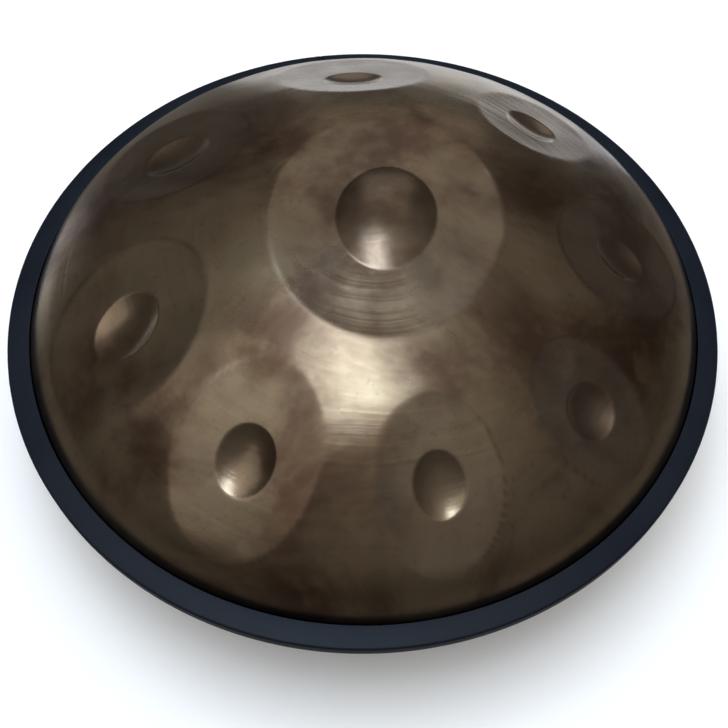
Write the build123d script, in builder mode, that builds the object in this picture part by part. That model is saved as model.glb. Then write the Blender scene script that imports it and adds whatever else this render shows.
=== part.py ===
"""Handpan: two steel shells glued rim to rim, with a rubber guard round the edge.

The frame: +Z up, the front of the instrument towards -Y, the origin on the floor
under the centre of the sound port. Millimetres and degrees.
"""

import os
from math import acos, asin, cos, degrees, radians, sin, sqrt

from build123d import *

os.makedirs("parts", exist_ok=True)

# Steel shells: both are drawn over the same form.
steel = 1.2  # sheet thickness
flange_radius = 277
glue_gap = 0.4  # between the two flanges
foot_radius = 1.5  # bend from the skirt out into the flange
# Each arc of the meridian: its radius, and the slope of the sheet where the arc ends.
crown_arc = (440, 17)
shoulder_arc = (340, 38)
skirt_arc = (80, 69.2)

# Sound port in the bottom shell.
port_radius = 50
port_lip_radius = 10  # bend from the land into the neck
port_neck = 20  # straight length of the neck
land_outer_radius = 63  # flat land round the port, on which the instrument stands

# Rubber guard: a U-channel round the flanges. Its lips lean in against both shells.
guard_radius = 280
guard_inner_radius = 265.7  # where the lips leave the flanges
guard_lip_radius = 263.6  # tips of the lips
guard_height = 10.8
guard_corner = 1.5
guard_lip_corner = 0.6
guard_joint_azimuth = 100
guard_joint_gap = 0.3

# Tone fields. azimuth, radius: where the middle of the field lies in plan.
# field, dimple: half length, half width, and how far the long axis turns from the radius.
# shift: how far the dimple lies outwards from the middle of the field.
ring_fields = [
    {"azimuth": -115.6, "radius": 192, "field": (70, 50, 7), "dimple": (25.5, 20.5, 8), "shift": 0},
    {"azimuth": -76.4, "radius": 196, "field": (61, 43.5, -4), "dimple": (23.7, 18, -5), "shift": 0},
    {"azimuth": -40.6, "radius": 204, "field": (58.5, 40.5, -6), "dimple": (21.2, 19.5, -8), "shift": 0},
    {"azimuth": -1.0, "radius": 191, "field": (58, 51, -12), "dimple": (23.3, 18.5, -24), "shift": 0},
    {"azimuth": 44.5, "radius": 189, "field": (52, 49, 90), "dimple": (23, 18, 90), "shift": -3},
    {"azimuth": 95.0, "radius": 190, "field": (64, 50, 90), "dimple": (25, 19, 90), "shift": -10},
    {"azimuth": 149.5, "radius": 180, "field": (64, 56, 30), "dimple": (29, 24, 40), "shift": 0},
    {"azimuth": -158.6, "radius": 188, "field": (72, 59, 20), "dimple": (29.4, 23.5, 13), "shift": 0},
]
ring_flatness = 0.9  # 1 is a flat field, 0 is the bare dome
ring_dimple_slope = 0.24  # depth of a dimple over its half width

# Ding, the note on the crown. Its dimple stands out of the sheet instead of into it.
ding_centre = (11, 2)
ding_field = (101, 84)  # half lengths along Y and X
ding_dimple = (48, 36.5)
ding_turn = -96  # direction of the long axis
ding_flatness = 0.57
ding_rise = 6.5  # height of the dimple's top above the middle of its field

tool_overrun = 25  # how far a flattening tool reaches past its field
tool_height = 30  # and above the bare dome
cap_cut = 80  # height above the rim where the ding's egg shape is cut off, inside the dome

flange_face = glue_gap / 2  # height of each flange's glued face from the rim's middle


def ray(angle):
    """Direction in a shell's section: 0 points away from the rim's plane, 90 points outwards."""
    return Vector(sin(radians(angle)), cos(radians(angle)))


def meridian(inset):
    """Arcs of the sheet's section, crown to flange: (centre, radius, start angle, end angle).

    Points are (distance from the axis, height from the rim's middle). An inset of 0 gives
    the outside of the sheet, and an inset of its thickness gives the inside.
    """
    dome_arcs = (crown_arc, shoulder_arc, skirt_arc)
    height = flange_face + steel + foot_radius * (1 - cos(radians(skirt_arc[1])))
    slope = 0
    for radius, end_slope in dome_arcs:
        height += radius * (cos(radians(slope)) - cos(radians(end_slope)))
        slope = end_slope
    arcs = []
    point = Vector(0, height)
    slope = 0
    for radius, end_slope in dome_arcs:
        centre = point - ray(slope) * radius
        arcs.append((centre, radius - inset, slope, end_slope))
        point = centre + ray(end_slope) * radius
        slope = end_slope
    foot_centre = point + ray(slope) * foot_radius
    arcs.append((foot_centre, foot_radius + inset, slope + 180, 180))
    return arcs


def on_arc(arc, angle):
    """Point of an arc at one of its angles."""
    centre, radius, _, _ = arc
    return centre + ray(angle) * radius


def dome_at(r):
    """Height and slope of the bare dome at distance r from the axis."""
    for centre, radius, _, end_slope in meridian(0)[:3]:
        slope = degrees(asin((r - centre.X) / radius))
        if slope <= end_slope:
            return centre.Y + radius * cos(radians(slope)), slope
    raise ValueError("outside the dome")


land_height = dome_at(land_outer_radius)[0]
rim_height = land_height  # the land round the port lies on the floor


def place(point, up):
    """Section point of the upper shell (up 1) or of the lower one (up -1)."""
    return (point.X, rim_height + up * point.Y)


def draw_arcs(arcs, up):
    """Draw arcs of a section, in an open BuildLine."""
    for arc in arcs:
        _, _, start, end = arc
        angles = (start, (start + end) / 2, end)
        ThreePointArc(*[place(on_arc(arc, angle), up) for angle in angles])


def flange_end(arcs):
    """Point where the foot's bend runs out into the flat flange."""
    return on_arc(arcs[-1], arcs[-1][3])


def field_plane(field, shift, depth):
    """Plane that touches the bare dome at a field, then sinks by depth along its normal."""
    radius = field["radius"] + shift
    height, slope = dome_at(radius)
    outward = Vector(1, 0, 0).rotate(Axis.Z, field["azimuth"])
    normal = outward * sin(radians(slope)) + Vector(0, 0, cos(radians(slope)))
    along = outward * cos(radians(slope)) - Vector(0, 0, sin(radians(slope)))
    origin = outward * radius + Vector(0, 0, rim_height + height) - normal * depth
    return Plane(origin=origin, x_dir=along, z_dir=normal)


def field_depth(field, flatness, dome_radius):
    """How far hammering sinks the middle of a tone field below the bare dome."""
    return flatness * field[0] * field[1] / (2 * dome_radius)


def face_radius(half_size, depth, dome_radius):
    """Radius of a tone field's face along one of its axes, negative where it is hollow."""
    return 1 / (1 / dome_radius - 2 * depth / half_size**2)


def flattening_tool(plane, half_length, half_width, turn, depth, dome_radius):
    """Block whose underside is the nearly flat face of one tone field."""
    radius_along = face_radius(half_length, depth, dome_radius)
    radius_across = face_radius(half_width, depth, dome_radius)
    end = half_length + tool_overrun
    sag = radius_along - sqrt(radius_along**2 - end**2)
    section = Plane(plane.location * Rotation(0, 0, turn) * Rotation(90, 0, 0))
    face_axis = Axis(plane.origin - plane.z_dir * (depth + radius_across), section.x_dir)
    sweep_angle = 2 * degrees(asin((half_width + tool_overrun) / abs(radius_across)))
    with BuildPart(mode=Mode.PRIVATE) as tool:
        with BuildSketch(section):
            with BuildLine():
                low_corners = [(-end, -depth - sag), (end, -depth - sag)]
                ThreePointArc(low_corners[0], (0, -depth), low_corners[1])
                Polyline(low_corners[1], (end, tool_height), (-end, tool_height), low_corners[0])
            make_face()
        revolve(axis=face_axis, revolution_arc=sweep_angle)
    return tool.part.rotate(face_axis, -sweep_angle / 2)


def egg(section, along, across):
    """Solid of revolution of a half ellipse, its long axis along the section's X."""
    with BuildPart(mode=Mode.PRIVATE) as solid:
        with BuildSketch(section):
            with BuildLine():
                EllipticalCenterArc((0, 0), along, across, arc_size=180)
                Line((-along, 0), (along, 0))
            make_face()
        revolve(axis=Axis(section.origin, section.x_dir))
    return solid.part


def dimple_tool(plane, half_length, half_width, turn, depth, inset):
    """Egg, its long axis along the sheet, that presses one dimple of the ring into it."""
    across = (half_width**2 + depth**2) / (2 * depth)
    along = across * half_length / half_width
    section = Plane(plane.location * Rotation(0, 0, turn)).offset(across - depth)
    return egg(section, along + inset, across + inset)


def ding_cap(inset):
    """Top of the egg that stands out of the crown as the ding's dimple."""
    dome_radius = crown_arc[0]
    sunk = field_depth(ding_field, ding_flatness, dome_radius)
    radii = []
    for half_size, field_size in zip(ding_dimple, ding_field):
        sag = half_size**2 / (2 * face_radius(field_size, sunk, dome_radius))
        radii.append(half_size**2 / (2 * (ding_rise + sag)))
    across = radii[1]
    along = sqrt(radii[0] * across)
    top = rim_height + dome_at(0)[0] - sunk + ding_rise
    crown = Plane(origin=(*ding_centre, top - across))
    section = Plane(crown.location * Rotation(0, 0, ding_turn))
    with BuildPart(mode=Mode.PRIVATE) as cap:
        add(egg(section, along - inset, across - inset))
        split(bisect_by=Plane.XY.offset(rim_height + cap_cut), keep=Keep.TOP)
    return cap.part


def hammering_tools(inset):
    """Every tool that presses the dome in, for the sheet's outside (inset 0) or its inside."""
    crown = Plane(origin=(*ding_centre, rim_height + dome_at(0)[0] - inset))
    dome_radius = crown_arc[0]
    sunk = field_depth(ding_field, ding_flatness, dome_radius)
    tools = [flattening_tool(crown, *ding_field, ding_turn, sunk, dome_radius)]
    dome_radius = shoulder_arc[0]
    for field in ring_fields:
        sunk = field_depth(field["field"], ring_flatness, dome_radius)
        face = field_plane(field, 0, inset)
        tools.append(flattening_tool(face, *field["field"], sunk, dome_radius))
        depth = ring_dimple_slope * field["dimple"][1]
        face = field_plane(field, field["shift"], sunk)
        tools.append(dimple_tool(face, *field["dimple"], depth, inset))
    return tools


def hammered_dome(inset):
    """Solid under the hammered dome and its flange, or the hollow under the sheet."""
    arcs = meridian(inset)
    foot = place(flange_end(arcs), 1)
    crown = place(on_arc(arcs[0], 0), 1)
    floor = rim_height + flange_face
    edge = [foot, (0, floor), crown]
    if inset == 0:
        edge[1:1] = [(flange_radius, foot[1]), (flange_radius, floor)]
    with BuildPart(mode=Mode.PRIVATE) as body:
        with BuildSketch(Plane.XZ):
            with BuildLine():
                draw_arcs(arcs, 1)
                Polyline(*edge)
            make_face()
        revolve(axis=Axis.Z)
        for tool in hammering_tools(inset):
            add(tool, mode=Mode.SUBTRACT)
        add(ding_cap(inset))
    return body.part


outside = hammered_dome(0)
inside = hammered_dome(steel)

with BuildPart() as top_shell:
    add(outside)
    add(inside, mode=Mode.SUBTRACT)


# The bottom shell's section, outside then inside, from the port's neck to the flange.
lip_centre = Vector(port_radius + port_lip_radius, land_height - port_lip_radius)
neck_end = lip_centre.Y - port_neck


def bowl_arcs(inset):
    """Arcs of the bowl, starting where the crown meets the flat land round the port."""
    arcs = meridian(inset)
    centre, radius, _, end_slope = arcs[0]
    land_slope = degrees(acos((land_height - inset - centre.Y) / radius))
    return [(centre, radius, land_slope, end_slope), *arcs[1:]]


def draw_port(inset, land_point):
    """Draw the neck, its rolled lip and the land, as far as the bowl."""
    lip = (lip_centre, port_lip_radius - inset, -90, 0)
    Line((port_radius + inset, rim_height - neck_end), place(on_arc(lip, -90), -1))
    draw_arcs([lip], -1)
    Line(place(on_arc(lip, 0), -1), place(land_point, -1))


with BuildPart() as bottom_shell:
    with BuildSketch(Plane.XZ):
        with BuildLine():
            for inset in (0, steel):
                arcs = bowl_arcs(inset)
                draw_arcs(arcs, -1)
                draw_port(inset, on_arc(arcs[0], arcs[0][2]))
            outer_foot, inner_foot = [place(flange_end(bowl_arcs(i)), -1) for i in (0, steel)]
            flange_edge = [(flange_radius, outer_foot[1]), (flange_radius, inner_foot[1])]
            Polyline(outer_foot, *flange_edge, inner_foot)
            neck_rim = [(port_radius + inset, rim_height - neck_end) for inset in (0, steel)]
            Line(*neck_rim)
        make_face()
    revolve(axis=Axis.Z)


glue_edge = 0.5  # how far the bead stays inside both edges of the flange's flat
glue_inner_radius = flange_end(meridian(steel)).X + glue_edge

with BuildPart() as flange_adhesive:
    with BuildSketch(Plane.XY.offset(rim_height - flange_face)):
        Circle(flange_radius - glue_edge)
        Circle(glue_inner_radius, mode=Mode.SUBTRACT)
    extrude(amount=glue_gap)


# The guard is one strip: its section is swept round almost a full turn.
guard_side = Vector(1, 0, 0).rotate(Axis.Z, guard_joint_azimuth)
guard_start = Plane(
    origin=(0, 0, rim_height), x_dir=guard_side, z_dir=guard_side.rotate(Axis.Z, -90)
)
slot_half_height = flange_face + steel
guard_gap_angle = degrees(guard_joint_gap / guard_radius)
half_section = [
    (guard_lip_radius, guard_height / 2),
    (guard_radius, guard_height / 2),
    (guard_radius, 0),
    (flange_radius, 0),
    (flange_radius, slot_half_height),
    (guard_inner_radius, slot_half_height),
]

with BuildPart() as rim_guard:
    with BuildSketch(guard_start) as channel:
        with BuildLine():
            Polyline(*half_section, close=True)
        make_face()
        mirror(about=Plane.XZ)
        corners = channel.vertices().group_by(Axis.X)
        fillet(corners[0] + corners[1], guard_lip_corner)
        fillet(channel.vertices().group_by(Axis.X)[-1], guard_corner)
    revolve(axis=Axis.Z, revolution_arc=360 - guard_gap_angle)


pieces = {
    "top_shell": top_shell,
    "bottom_shell": bottom_shell,
    "flange_adhesive": flange_adhesive,
    "rim_guard": rim_guard,
}
for name, piece in pieces.items():
    piece.part.label = name
    export_step(piece.part, f"parts/{name}.step")
    print(name, len(piece.part.solids()), round(piece.part.volume), piece.part.bounding_box())
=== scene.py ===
from math import asin, cos, degrees, exp, pi, radians, sin, sqrt

import bmesh
import bpy
from mathutils import Matrix, Vector, noise


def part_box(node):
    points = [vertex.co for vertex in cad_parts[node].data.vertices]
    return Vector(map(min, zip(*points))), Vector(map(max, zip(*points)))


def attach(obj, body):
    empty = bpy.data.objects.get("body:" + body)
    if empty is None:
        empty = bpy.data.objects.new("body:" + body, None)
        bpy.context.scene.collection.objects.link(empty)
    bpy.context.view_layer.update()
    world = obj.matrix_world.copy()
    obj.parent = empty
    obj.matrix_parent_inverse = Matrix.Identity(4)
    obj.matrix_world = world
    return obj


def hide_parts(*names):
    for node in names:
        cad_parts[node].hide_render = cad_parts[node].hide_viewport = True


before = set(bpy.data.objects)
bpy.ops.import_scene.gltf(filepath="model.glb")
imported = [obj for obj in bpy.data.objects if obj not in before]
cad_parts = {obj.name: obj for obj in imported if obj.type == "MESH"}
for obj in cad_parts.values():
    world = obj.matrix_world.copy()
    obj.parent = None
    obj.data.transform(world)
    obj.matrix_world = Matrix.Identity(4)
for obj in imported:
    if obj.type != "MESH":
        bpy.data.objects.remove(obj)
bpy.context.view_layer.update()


# ---- Upper shell -------------------------------------------------------------------------
# One sheet of steel, drawn into a dome with a flat flange. The notes are hammered into the
# same sheet: each is a nearly flat oval round a dimple. The central note's dimple stands
# out, and those of the ring are pressed in. Heat has coloured the steel.

sheet = 0.0012
rim_height = sum(corner.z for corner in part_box("rim_guard")) / 2
flange_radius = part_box("bottom_shell")[1].x
flange_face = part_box("flange_adhesive")[1].z - rim_height
foot_radius = 0.0015

# Arcs of the dome's section: radius, slope of the sheet where the arc ends, rings of mesh.
dome_arcs = [(0.440, 17, 32), (0.340, 38, 36), (0.080, 69.2, 12)]
foot_slope = dome_arcs[-1][1]
mesh_segments = 216


def direction(angle):
    """Unit vector in the shell's section: 0 degrees is up, 90 degrees is outwards."""
    return Vector((sin(radians(angle)), 0, cos(radians(angle))))


def arc_centres():
    """Centres of the dome's arcs, worked up from the flange, and the crown's height."""
    height = flange_face + sheet + foot_radius * (1 - cos(radians(foot_slope)))
    slope = 0
    for radius, end_slope, _ in dome_arcs:
        height += radius * (cos(radians(slope)) - cos(radians(end_slope)))
        slope = end_slope
    centres = []
    point = Vector((0, 0, height))
    slope = 0
    for radius, end_slope, _ in dome_arcs:
        centres.append(point - direction(slope) * radius)
        point = centres[-1] + direction(end_slope) * radius
        slope = end_slope
    centres.append(point + direction(slope) * foot_radius)
    return centres, height


centres, crown_height = arc_centres()


def dome_at(distance):
    """Point of the dome's section at a distance from the axis, and the slope there."""
    for centre, (radius, end_slope, _) in zip(centres, dome_arcs):
        slope = degrees(asin((distance - centre.x) / radius))
        if slope <= end_slope:
            return centre + direction(slope) * radius, slope
    raise ValueError("outside the dome")


def draw_dome_section(bm, start_slope):
    """Section of a shell's outside, from a slope on the crown out to the flange's edge."""
    start = bm.verts.new(centres[0] + direction(start_slope) * dome_arcs[0][0])
    section = [start]
    slope = start_slope
    ends = [(end_slope, steps) for _, end_slope, steps in dome_arcs] + [(0, 4)]
    for centre, (end_slope, steps) in zip(centres, ends):
        swing = radians(end_slope - slope)
        made = bmesh.ops.spin(
            bm, geom=[section[-1]], cent=centre, axis=(0, 1, 0), angle=swing, steps=steps
        )
        section.append(made["geom_last"][0])
        slope = end_slope
    made = bmesh.ops.extrude_vert_indiv(bm, verts=[section[-1]])
    edge = made["verts"][0]
    edge.co.x = flange_radius
    return start, edge


def spin_section(bm, segments):
    """Spin everything drawn so far round the axis into a closed ring of faces."""
    geometry = bm.verts[:] + bm.edges[:]
    bmesh.ops.spin(
        bm, geom=geometry, cent=(0, 0, 0), axis=(0, 0, 1), angle=2 * pi,
        steps=segments, use_merge=True,
    )
    bmesh.ops.remove_doubles(bm, verts=bm.verts, dist=1e-6)
    bmesh.ops.recalc_face_normals(bm, faces=bm.faces)


# Notes: azimuth and distance of the middle from the axis. The field and the dimple are
# ovals: half length, half width, and how far the long axis turns from the radius.
# shift is how far the dimple lies outwards from the middle of its field, and grey is how strongly
# a painted grey reflection tints the field.
ring_notes = [
    {"azimuth": -115.6, "distance": 0.192, "field": (0.0700, 0.0500, 7),
     "dimple": (0.0255, 0.0205, 8), "shift": 0, "grey": 0.0},
    {"azimuth": -76.4, "distance": 0.196, "field": (0.0610, 0.0435, -4),
     "dimple": (0.0237, 0.0180, -5), "shift": 0, "grey": 0.1},
    {"azimuth": -40.6, "distance": 0.204, "field": (0.0585, 0.0405, -6),
     "dimple": (0.0212, 0.0195, -8), "shift": 0, "grey": 0.3},
    {"azimuth": -1.0, "distance": 0.191, "field": (0.0580, 0.0510, -12),
     "dimple": (0.0233, 0.0185, -24), "shift": 0, "grey": 0.25},
    {"azimuth": 44.5, "distance": 0.189, "field": (0.0520, 0.0490, 90),
     "dimple": (0.0230, 0.0180, 90), "shift": -0.003, "grey": 0.4},
    {"azimuth": 95.0, "distance": 0.190, "field": (0.0640, 0.0500, 90),
     "dimple": (0.0250, 0.0190, 90), "shift": -0.010, "grey": 0.6},
    {"azimuth": 149.5, "distance": 0.180, "field": (0.0640, 0.0560, 30),
     "dimple": (0.0290, 0.0240, 40), "shift": 0, "grey": 0.2},
    {"azimuth": -158.6, "distance": 0.188, "field": (0.0720, 0.0590, 20),
     "dimple": (0.0294, 0.0235, 13), "shift": 0, "grey": 0.0},
]
ring_flatness = 0.9  # 1 is a flat field, 0 is the bare dome
ring_dimple_slope = 0.24  # depth of a dimple over its half width
# How the hammered depth falls off: 2 is an even bowl, more is a flatter floor.
field_power = 2.4
dimple_power = 2.3
ding = {"centre": (0.011, 0.002), "field": (0.101, 0.084), "dimple": (0.048, 0.0365),
        "turn": -96, "flatness": 0.57, "power": 4, "rise": 0.0065, "grey": 0.12}


def turned(along, normal, turn):
    """The two axes of an oval that lies in the sheet, its long axis turned about the normal."""
    along = Matrix.Rotation(radians(turn), 3, normal) @ along
    return along, normal.cross(along)


def lay_out_notes():
    """Place every note on the dome: its two ovals and how deep each of them is."""
    placed = []
    crown = Vector((*ding["centre"], crown_height))
    axes = turned(Vector((1, 0, 0)), Vector((0, 0, 1)), ding["turn"])
    sunk = ding["flatness"] * ding["field"][0] * ding["field"][1] / (2 * dome_arcs[0][0])
    placed.append({
        "field": (crown, *axes, *ding["field"]), "sunk": sunk,
        "dimple": (crown, *axes, *ding["dimple"]), "depth": -ding["rise"], "power": ding["power"],
        "grey": ding["grey"],
    })
    for note in ring_notes:
        spot = {}
        for oval, shift in (("field", 0), ("dimple", note["shift"])):
            point, slope = dome_at(note["distance"] + shift)
            swing = Matrix.Rotation(radians(note["azimuth"]), 3, "Z")
            along, normal = swing @ direction(slope + 90), swing @ direction(slope)
            half_length, half_width, turn = note[oval]
            spot[oval] = (swing @ point, *turned(along, normal, turn), half_length, half_width)
        half_length, half_width, _ = note["field"]
        spot["sunk"] = ring_flatness * half_length * half_width / (2 * dome_arcs[1][0])
        spot["depth"] = ring_dimple_slope * note["dimple"][1]
        spot["grey"] = note["grey"]
        spot["power"] = field_power
        placed.append(spot)
    return placed


def oval_square(point, oval):
    """Squared distance from an oval's middle: 0 in the middle, 1 on its edge."""
    centre, along, across, half_length, half_width = oval
    reach = point - centre
    return (reach.dot(along) / half_length) ** 2 + (reach.dot(across) / half_width) ** 2


def eased(value, softness):
    """value where it is above 0 and 0 below it, with the corner between them rounded."""
    return (value + sqrt(value * value + softness * softness)) / 2


def inside(square, sharpness):
    """1 well inside an oval, 0 well outside it, with a soft step on its edge."""
    return 1 / (1 + exp(min(40, (square - 1) * sharpness)))


field_softness = 0.04
dimple_softness = 0.03
field_sharpness = 18  # how abruptly the marks of a field end at its edge
dimple_sharpness = 30
crease_width = 0.05  # in squared distances, as an oval's edge is 1
note_reach = 0.13  # nothing beyond this distance feels the hammering of a note
ripple_depth = 0.00048
calm_foot = 0.02  # height over which the hammering dies away towards the flange


def hammer(point, notes):
    """How far the sheet is pressed in at a point, and what lies there."""
    press = 0
    marks = {"field": 0.0, "crease": 0.0, "dimple": 0.0, "grey": 0.0}
    for note in notes:
        if (point - note["field"][0]).length > note_reach:
            continue
        field_square = oval_square(point, note["field"])
        dimple_square = oval_square(point, note["dimple"])
        press += note["sunk"] * eased(1 - field_square ** (note["power"] / 2), field_softness)
        press += note["depth"] * eased(1 - dimple_square ** (dimple_power / 2), dimple_softness)
        on_field = inside(field_square, field_sharpness)
        marks["field"] = max(marks["field"], on_field)
        # grey weights the painted grey reflection that each note's field gets.
        marks["grey"] += on_field * note["grey"]
        # crease marks the band at a field's edge that carries its painted highlight and painted
        # shade.
        marks["crease"] = max(marks["crease"], exp(-((field_square - 1) / crease_width) ** 2))
        marks["dimple"] = max(marks["dimple"], inside(dimple_square, dimple_sharpness))
    ripple = noise.noise(point * 22) + 0.45 * noise.noise(point * 47 + Vector((3, 1, 7)))
    press += ripple_depth * ripple * (1 - 0.35 * marks["field"]) * (1 - marks["dimple"])
    return press, marks


def refine(bm, notes, needs_more):
    """Halve the faces that needs_more picks by their two squared distances from a note."""
    edges = set()
    for face in bm.faces:
        middle = face.calc_center_median()
        for note in notes:
            squares = [oval_square(middle, note[oval]) for oval in ("field", "dimple")]
            if needs_more(*squares):
                edges.update(face.edges)
    bmesh.ops.subdivide_edges(bm, edges=list(edges), cuts=1, use_grid_fill=True)
    for vert in bm.verts:
        distance = vert.co.xy.length
        if 0 < distance < centres[-1].x - foot_radius:
            vert.co.z = dome_at(distance)[0].z


def lift_and_mesh(bm, name, lift):
    """Raise a finished bmesh by lift, and make it a smooth mesh object."""
    bmesh.ops.translate(bm, verts=bm.verts, vec=(0, 0, lift))
    mesh = bpy.data.meshes.new(name)
    bm.to_mesh(mesh)
    bm.free()
    mesh.shade_smooth()
    piece = bpy.data.objects.new(name, mesh)
    bpy.context.scene.collection.objects.link(piece)
    return piece


def make_upper_shell():
    bm = bmesh.new()
    draw_dome_section(bm, 0)
    spin_section(bm, mesh_segments)
    notes = lay_out_notes()
    refine(bm, notes, lambda field, dimple: 0.78 < field < 1.18 or dimple < 1.5)
    refine(bm, notes, lambda field, dimple: 0.8 < dimple < 1.2)
    bm.normal_update()
    layers = {key: bm.verts.layers.float.new(key) for key in ("field", "crease", "dimple", "grey")}
    flange_top = flange_face + sheet
    moves = []
    for vert in bm.verts:
        press, marks = hammer(vert.co, notes)
        fade = min(1, max(0, (vert.co.z - flange_top) / calm_foot))
        moves.append(vert.normal * -press * fade)
        for key, layer in layers.items():
            vert[layer] = marks[key]
    for vert, move in zip(bm.verts, moves):
        vert.co += move
    bmesh.ops.solidify(bm, geom=bm.faces[:], thickness=sheet)
    return lift_and_mesh(bm, "upper_shell_steel", rim_height)


upper_shell = make_upper_shell()


def link_maker(material):
    """Shorthands for adding nodes to one material."""
    tree = material.node_tree
    def add(kind, inputs=(), **settings):
        node = tree.nodes.new(kind)
        for key, value in settings.items():
            setattr(node, key, value)
        for key, value in dict(inputs).items():
            if isinstance(value, bpy.types.NodeSocket):
                tree.links.new(value, node.inputs[key])
            else:
                node.inputs[key].default_value = value
        return node
    return add


def heat_coloured_steel(name, hammered):
    """Satin steel with the browns and olives of tempering, painted shade towards the rim, and
    faint polishing lines.

    The hammered sheet also shows its notes: faces paler in a random mottle that is partly a
    painted sheen, a painted grey reflection on some notes, a painted highlight and painted shade
    along the creases, and smoother dimples darkened with painted shade.
    """
    steel = bpy.data.materials.new(name)
    steel.use_nodes = True
    add = link_maker(steel)
    place = add("ShaderNodeTexCoord").outputs["Object"]
    shader = steel.node_tree.nodes["Principled BSDF"]

    def cloud(scale, detail=4, rough=0.55, distortion=0.0, vector=place):
        return add("ShaderNodeTexNoise", {"Vector": vector, "Scale": scale, "Detail": detail,
                   "Roughness": rough, "Distortion": distortion}).outputs["Fac"]

    def fade(value, low, high, to_low=0.0, to_high=1.0):
        return add("ShaderNodeMapRange", {"Value": value, "From Min": low, "From Max": high,
                   "To Min": to_low, "To Max": to_high},
                   interpolation_type="SMOOTHSTEP").outputs["Result"]

    def blend(factor, first, second, mode="MIX"):
        return add("ShaderNodeMix", {0: factor, 6: first, 7: second}, data_type="RGBA",
                   blend_type=mode).outputs[2]

    def times(first, second):
        return add("ShaderNodeMath", {0: first, 1: second}, operation="MULTIPLY").outputs[0]

    def mark(key):
        return add("ShaderNodeAttribute", attribute_name=key).outputs["Fac"]

    umber = (0.150, 0.087, 0.055, 1)
    bronze = (0.38, 0.270, 0.168, 1)
    olive = (0.34, 0.255, 0.152, 1)
    copper = (0.40, 0.255, 0.150, 1)
    painted_grey_reflection = (0.33, 0.262, 0.210, 1)
    rim_shade = (0.070, 0.050, 0.038, 1)
    pale = (0.46, 0.385, 0.28, 1)

    colour = blend(fade(cloud(7, 5, 0.6, 0.4), 0.36, 0.60), umber, bronze)
    colour = blend(fade(cloud(14, 5), 0.46, 0.64, 0, 0.6), colour, olive)
    colour = blend(fade(cloud(27, 4), 0.54, 0.70, 0, 0.5), colour, copper)
    colour = blend(fade(cloud(160, 3, 0.7), 0.55, 0.75, 0, 0.35), colour, umber)
    roughness = fade(cloud(12, 5), 0.3, 0.7, 0.22, 0.34)
    if hammered:
        # Painted grey reflection on each note's field, as strong as the note's grey.
        colour = blend(mark("grey"), colour, painted_grey_reflection)
        # Random pale mottle on the fields, which is also a painted sheen where the flatter fields
        # catch more light.
        field_mottle_and_sheen = fade(cloud(26, 5, 0.6), 0.42, 0.64, 0.0, 0.18)
        colour = blend(times(mark("field"), field_mottle_and_sheen), colour, pale)
        # Painted highlight: a pale line in patches along the fields' edges, where the crease
        # catches the light.
        colour = blend(times(mark("crease"), fade(cloud(13), 0.48, 0.66, 0.0, 0.5)), colour, pale)
        # Painted shade: umber patches along the fields' edges, where the crease turns away from
        # the light.
        crease_shade = fade(cloud(9, 3), 0.56, 0.42, 0.0, 0.6)
        colour = blend(times(mark("crease"), crease_shade), colour, umber)
        # Painted shade: every dimple is darkened a little towards umber.
        colour = blend(times(mark("dimple"), 0.15), colour, umber)
        roughness = blend(mark("dimple"), roughness, (0.26, 0.26, 0.26, 1))
    height = add("ShaderNodeSeparateXYZ", {"Vector": place}).outputs["Z"]
    from_rim = add("ShaderNodeMath", {0: height, 1: rim_height}, operation="SUBTRACT").outputs[0]
    from_rim = add("ShaderNodeMath", {0: from_rim}, operation="ABSOLUTE").outputs[0]
    # Painted shade: the steel grows darker towards the rim, where the shells run in under the
    # guard.
    colour = blend(fade(from_rim, 0.002, 0.035, 0.5, 0), colour, rim_shade)
    steel.node_tree.links.new(colour, shader.inputs["Base Color"])
    steel.node_tree.links.new(roughness, shader.inputs["Roughness"])
    shader.inputs["Metallic"].default_value = 1.0

    flat = add("ShaderNodeVectorMath", {0: place, 1: (1, 1, 0)}, operation="MULTIPLY")
    reach = add("ShaderNodeVectorMath", {0: flat.outputs["Vector"]}, operation="LENGTH")
    wobble = times(cloud(9, 2), 0.02)
    reach = add("ShaderNodeMath", {0: reach.outputs["Value"], 1: wobble}, operation="ADD")
    lines = add("ShaderNodeTexNoise", {"W": reach.outputs[0], "Scale": 190, "Detail": 3},
                noise_dimensions="1D").outputs["Fac"]
    lines = times(lines, fade(cloud(15, 3), 0.35, 0.65, 0.25, 1))
    polish = add("ShaderNodeBump", {"Height": lines, "Distance": 0.00011})
    grain = add("ShaderNodeBump", {"Height": cloud(420, 2), "Distance": 0.000012,
                "Normal": polish.outputs["Normal"]})
    steel.node_tree.links.new(grain.outputs["Normal"], shader.inputs["Normal"])
    return steel


upper_shell.data.materials.append(heat_coloured_steel("heat_coloured_steel_upper", True))
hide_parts("top_shell")
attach(upper_shell, "root")


# ---- Lower shell -------------------------------------------------------------------------
# The same drawing without notes. Its sound port is a hole whose lip is rolled inwards into a
# short neck, out of the same sheet.

port_radius = 0.050
port_lip_radius = 0.010
port_neck = 0.020
land_outer_radius = 0.063
plain_segments = 256  # round the pieces that have no notes


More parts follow.
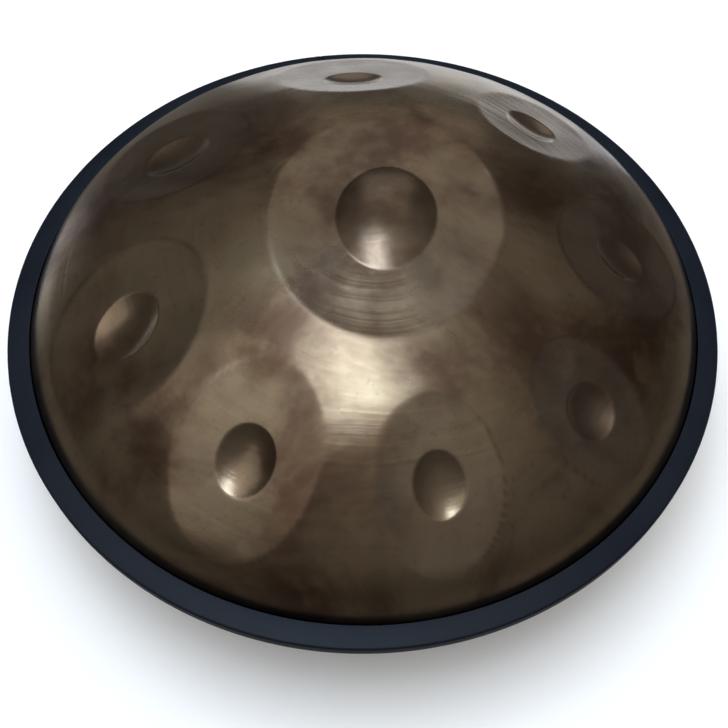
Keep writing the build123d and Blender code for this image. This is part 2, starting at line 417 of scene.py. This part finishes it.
def make_lower_shell():
    bm = bmesh.new()
    land, land_slope = dome_at(land_outer_radius)
    start, _ = draw_dome_section(bm, land_slope)
    lip_start = bmesh.ops.extrude_vert_indiv(bm, verts=[start])["verts"][0]
    lip_start.co.x = port_radius + port_lip_radius
    lip_centre = lip_start.co - Vector((0, 0, port_lip_radius))
    lip_end = bmesh.ops.spin(
        bm, geom=[lip_start], cent=lip_centre, axis=(0, 1, 0), angle=-pi / 2, steps=12
    )["geom_last"][0]
    neck_end = bmesh.ops.extrude_vert_indiv(bm, verts=[lip_end])["verts"][0]
    neck_end.co.z -= port_neck
    spin_section(bm, plain_segments)
    bmesh.ops.solidify(bm, geom=bm.faces[:], thickness=sheet)
    bmesh.ops.rotate(bm, verts=bm.verts, cent=(0, 0, 0), matrix=Matrix.Rotation(pi, 3, "X"))
    return lift_and_mesh(bm, "lower_shell_steel", rim_height)


lower_shell = make_lower_shell()
lower_shell.data.materials.append(heat_coloured_steel("heat_coloured_steel_lower", False))
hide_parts("bottom_shell")
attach(lower_shell, "root")


# ---- Flange adhesive ---------------------------------------------------------------------
# A thin bead of pale, hard adhesive between the two flanges, out of sight inside the guard.


glue_edge = 0.0005  # how far the bead stays clear of the flange's bend


def make_adhesive():
    bm = bmesh.new()
    low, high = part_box("flange_adhesive")
    thickness = high.z - low.z
    inner = centres[-1].x + glue_edge
    corner = bm.verts.new((inner, 0, -thickness / 2))
    across = bmesh.ops.extrude_vert_indiv(bm, verts=[corner])["verts"][0]
    across.co.x = high.x
    up = bmesh.ops.extrude_vert_indiv(bm, verts=[across])["verts"][0]
    up.co.z += thickness
    back = bmesh.ops.extrude_vert_indiv(bm, verts=[up])["verts"][0]
    back.co.x = inner
    bm.edges.new((back, corner))
    spin_section(bm, plain_segments)
    return lift_and_mesh(bm, "flange_adhesive_bead", (low.z + high.z) / 2)


adhesive_bead = make_adhesive()
adhesive = bpy.data.materials.new("cured_adhesive")
adhesive.use_nodes = True
add = link_maker(adhesive)
adhesive_place = add("ShaderNodeTexCoord").outputs["Object"]
squeeze = add("ShaderNodeTexNoise", {"Vector": adhesive_place, "Scale": 90, "Detail": 4})
amber = add("ShaderNodeMix", {0: squeeze.outputs["Fac"], 6: (0.66, 0.60, 0.46, 1),
            7: (0.52, 0.44, 0.30, 1)}, data_type="RGBA")
bead_bump = add("ShaderNodeBump", {"Height": squeeze.outputs["Fac"], "Distance": 0.0002})
adhesive_shader = adhesive.node_tree.nodes["Principled BSDF"]
adhesive_shader.inputs["Roughness"].default_value = 0.45
adhesive.node_tree.links.new(amber.outputs[2], adhesive_shader.inputs["Base Color"])
adhesive.node_tree.links.new(bead_bump.outputs["Normal"], adhesive_shader.inputs["Normal"])
adhesive_bead.data.materials.append(adhesive)
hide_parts("flange_adhesive")
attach(adhesive_bead, "root")


# ---- Rim guard ---------------------------------------------------------------------------
# A strip of blue-black rubber, U-shaped in section, pressed over the glued flanges. Its lips
# lean in against the shells, and its two ends meet in a butt joint at the back.

guard_inner_radius = 0.2657
guard_lip_radius = 0.2636
guard_corner = 0.0015
guard_lip_corner = 0.0006
guard_joint_azimuth = 100
guard_joint_gap = 0.0003
guard_segments = 320


def make_guard():
    low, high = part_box("rim_guard")
    guard_radius = high.x
    half_height = (high.z - low.z) / 2
    slot_half = flange_face + sheet
    outline = [
        (guard_inner_radius, slot_half), (guard_lip_radius, half_height),
        (guard_radius, half_height), (guard_radius, -half_height),
        (guard_lip_radius, -half_height), (guard_inner_radius, -slot_half),
        (flange_radius, -slot_half), (flange_radius, slot_half),
    ]
    bm = bmesh.new()
    section = bm.faces.new([bm.verts.new((x, 0, z)) for x, z in outline])
    corners = section.verts[:]
    for rounded, offset in (
        (corners[2:4], guard_corner), ([corners[1], corners[4]], guard_lip_corner),
    ):
        bmesh.ops.bevel(
            bm, geom=rounded, offset=offset, segments=5, profile=0.5,
            affect="VERTICES", material=-1,
        )
    gap = guard_joint_gap / guard_radius
    bmesh.ops.rotate(
        bm, verts=bm.verts, cent=(0, 0, 0),
        matrix=Matrix.Rotation(radians(guard_joint_azimuth) + gap / 2, 3, "Z"),
    )
    bmesh.ops.spin(
        bm, geom=bm.faces[:] + bm.verts[:] + bm.edges[:], cent=(0, 0, 0), axis=(0, 0, 1),
        angle=2 * pi - gap, steps=guard_segments,
    )
    bmesh.ops.recalc_face_normals(bm, faces=bm.faces)
    return lift_and_mesh(bm, "rim_guard_rubber", rim_height)


guard = make_guard()
rubber = bpy.data.materials.new("blue_black_rubber")
rubber.use_nodes = True
add = link_maker(rubber)
rubber_place = add("ShaderNodeTexCoord").outputs["Object"]
bloom = add("ShaderNodeTexNoise", {"Vector": rubber_place, "Scale": 16, "Detail": 6})
tint = add("ShaderNodeMix", {0: bloom.outputs["Fac"], 6: (0.003, 0.004, 0.008, 1),
           7: (0.008, 0.011, 0.018, 1)}, data_type="RGBA")
wear = add("ShaderNodeMapRange", {"Value": bloom.outputs["Fac"], "To Min": 0.30, "To Max": 0.52})
skin = add("ShaderNodeTexNoise", {"Vector": rubber_place, "Scale": 900, "Detail": 2})
skin_bump = add("ShaderNodeBump", {"Height": skin.outputs["Fac"], "Distance": 0.00004})
rubber_shader = rubber.node_tree.nodes["Principled BSDF"]
rubber_shader.inputs["Specular IOR Level"].default_value = 0.14
rubber.node_tree.links.new(tint.outputs[2], rubber_shader.inputs["Base Color"])
rubber.node_tree.links.new(wear.outputs["Result"], rubber_shader.inputs["Roughness"])
rubber.node_tree.links.new(skin_bump.outputs["Normal"], rubber_shader.inputs["Normal"])
guard.data.materials.append(rubber)
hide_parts("rim_guard")
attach(guard, "root")


# ---- Studio ------------------------------------------------------------------------------
# A pale floor and backdrop, soft lights and the camera. None of it is part of the instrument.

middle = Vector((0, 0, rim_height))


def pale_surface(name, shade, glow=0.0):
    """Matt, pale material, which may glow a little, as a lit backdrop does."""
    pale = bpy.data.materials.new(name)
    pale.use_nodes = True
    shader = pale.node_tree.nodes["Principled BSDF"]
    shader.inputs["Base Color"].default_value = (shade, shade, shade, 1)
    shader.inputs["Roughness"].default_value = 0.9
    shader.inputs["Specular IOR Level"].default_value = 0.1
    shader.inputs["Emission Color"].default_value = (1, 1, 1, 1)
    shader.inputs["Emission Strength"].default_value = glow
    return pale


bm = bmesh.new()
bmesh.ops.create_circle(bm, cap_ends=True, radius=5, segments=96)
floor = lift_and_mesh(bm, "floor", 0)
floor.data.materials.append(pale_surface("floor_paper", 0.88, 0.10))
floor.visible_glossy = False
floor.visible_shadow = False

bm = bmesh.new()
bmesh.ops.create_uvsphere(bm, u_segments=64, v_segments=32, radius=4.9)
bmesh.ops.reverse_faces(bm, faces=bm.faces)
backdrop = lift_and_mesh(bm, "backdrop", 0)
backdrop.data.materials.append(pale_surface("backdrop_paper", 0.0, 0.82))
for ray in ("glossy", "diffuse", "shadow", "transmission"):
    setattr(backdrop, "visible_" + ray, False)


def softbox(name, place, size, radiance, colour=(1, 1, 1), glossy=True):
    """Rectangular light facing the instrument. radiance is its brightness in a mirror."""
    light = bpy.data.lights.new(name, "AREA")
    light.shape = "RECTANGLE"
    light.size, light.size_y = size
    light.energy = radiance * pi * size[0] * size[1]
    light.color = colour
    lamp = bpy.data.objects.new(name, light)
    facing = (middle - Vector(place)).to_track_quat("-Z", "Y").to_matrix().to_4x4()
    lamp.matrix_world = Matrix.Translation(place) @ facing
    lamp.visible_glossy = glossy
    lamp.visible_camera = False
    bpy.context.scene.collection.objects.link(lamp)


softbox("key", (-0.13, -0.02, 1.6), (0.90, 0.48), 5.2, (0.72, 0.95, 1.18))
softbox("left_fill", (-1.05, -0.45, 1.7), (1.3, 1.3), 0.52, (0.9, 0.95, 1.0))
softbox("back_wall", (0.1, 2.1, 1.5), (1.5, 1.6), 0.30)
softbox("back_floor", (0.40, 2.35, -0.6), (2.2, 1.1), 0.92, (0.84, 0.94, 1.06))
softbox("side_floor", (-2.0, 1.3, -0.5), (0.9, 0.9), 0.50, (0.82, 0.93, 1.08))
softbox("floor_fill", (0, 0.2, 3.2), (3.5, 3.5), 2.5, glossy=False)


def studio_world():
    """Dim surroundings: darkest at the horizon, lighter overhead and below it."""
    world = bpy.data.worlds.new("studio")
    world.use_nodes = True
    tree = world.node_tree
    place = tree.nodes.new("ShaderNodeTexCoord")
    split = tree.nodes.new("ShaderNodeSeparateXYZ")
    height = tree.nodes.new("ShaderNodeMapRange")
    height.inputs["From Min"].default_value = -1
    shade = tree.nodes.new("ShaderNodeValToRGB")
    shade.color_ramp.interpolation = "EASE"
    stops = [(0.0, 0.25), (0.42, 0.15), (0.5, 0.085), (0.72, 0.105), (0.9, 0.20), (0.95, 0.36),
             (1.0, 0.45)]
    while len(shade.color_ramp.elements) < len(stops):
        shade.color_ramp.elements.new(0.5)
    for element, (position, grey) in zip(shade.color_ramp.elements, stops):
        element.position = position
        element.color = (grey, grey, grey, 1)
    tree.links.new(place.outputs["Generated"], split.inputs["Vector"])
    tree.links.new(split.outputs["Z"], height.inputs["Value"])
    tree.links.new(height.outputs["Result"], shade.inputs["Fac"])
    tree.links.new(shade.outputs["Color"], tree.nodes["Background"].inputs["Color"])
    return world


bpy.context.scene.world = studio_world()

camera_data = bpy.data.cameras.new("camera")
camera_data.sensor_width = 36
camera_data.lens = 49.065
camera_data.shift_x = -0.1003
camera_data.shift_y = -0.0330
camera_data.clip_start = 0.01
camera = bpy.data.objects.new("camera", camera_data)
eye = Vector((0, -0.45087, rim_height + 0.66568))
aim = Vector((0.05215, -0.03741, rim_height))
facing = (aim - eye).to_track_quat("-Z", "Y").to_matrix().to_4x4()
camera.matrix_world = Matrix.Translation(eye) @ facing @ Matrix.Rotation(radians(6.34), 4, "Z")
bpy.context.scene.collection.objects.link(camera)
bpy.context.scene.camera = camera
bpy.context.scene.view_settings.view_transform = "Standard"
